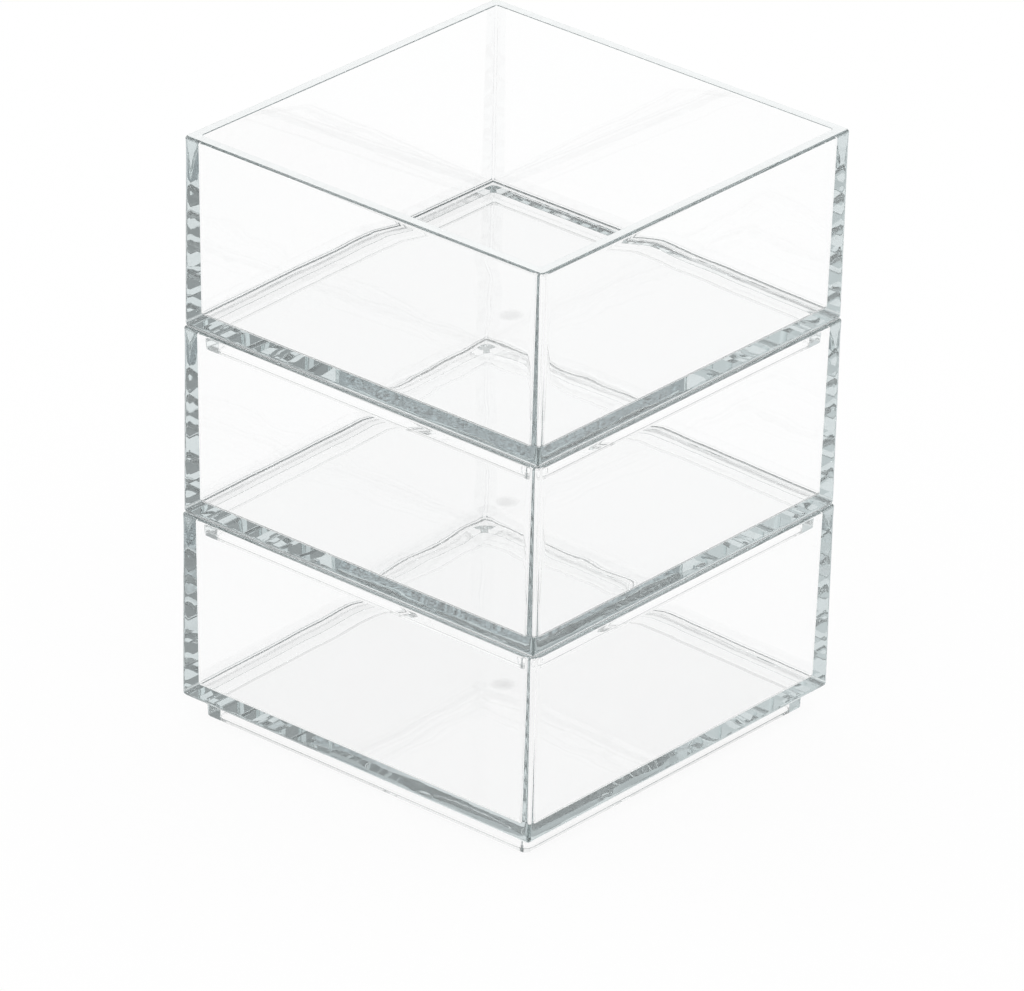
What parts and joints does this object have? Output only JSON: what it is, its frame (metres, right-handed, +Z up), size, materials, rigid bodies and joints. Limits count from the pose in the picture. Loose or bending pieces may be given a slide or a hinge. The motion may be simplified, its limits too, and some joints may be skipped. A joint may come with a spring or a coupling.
{
  "type": "drawer organizer tray stack",
  "caption": "Stack of identical clear square drawer organizer trays; each has a foot that drops inside the rim of the tray below.",
  "frame": {"origin": "on the surface the stack stands on, under the middle of the trays", "axes": "+Z up, the way the trays stack and lift off; X and Y run along the trays' walls"},
  "size_m": [0.1016, 0.1016, 0.1401],
  "materials": {
    "clear_plastic": "crystal clear polished plastic, faint green-grey where light runs along the walls"
  },
  "bodies": {
    "bottom": {"tray_bottom": "clear_plastic"},
    "middle": {"tray_middle": "clear_plastic"},
    "top": {"tray_top": "clear_plastic"}
  },
  "joints": [
    {"name": "lift_middle", "type": "slide", "parent": "bottom", "child": "middle", "axis": [0, 0, 1], "range_m": [0, 0.05]},
    {"name": "lift_top", "type": "slide", "parent": "middle", "child": "top", "axis": [0, 0, 1], "range_m": [0, 0.05]}
  ]
}
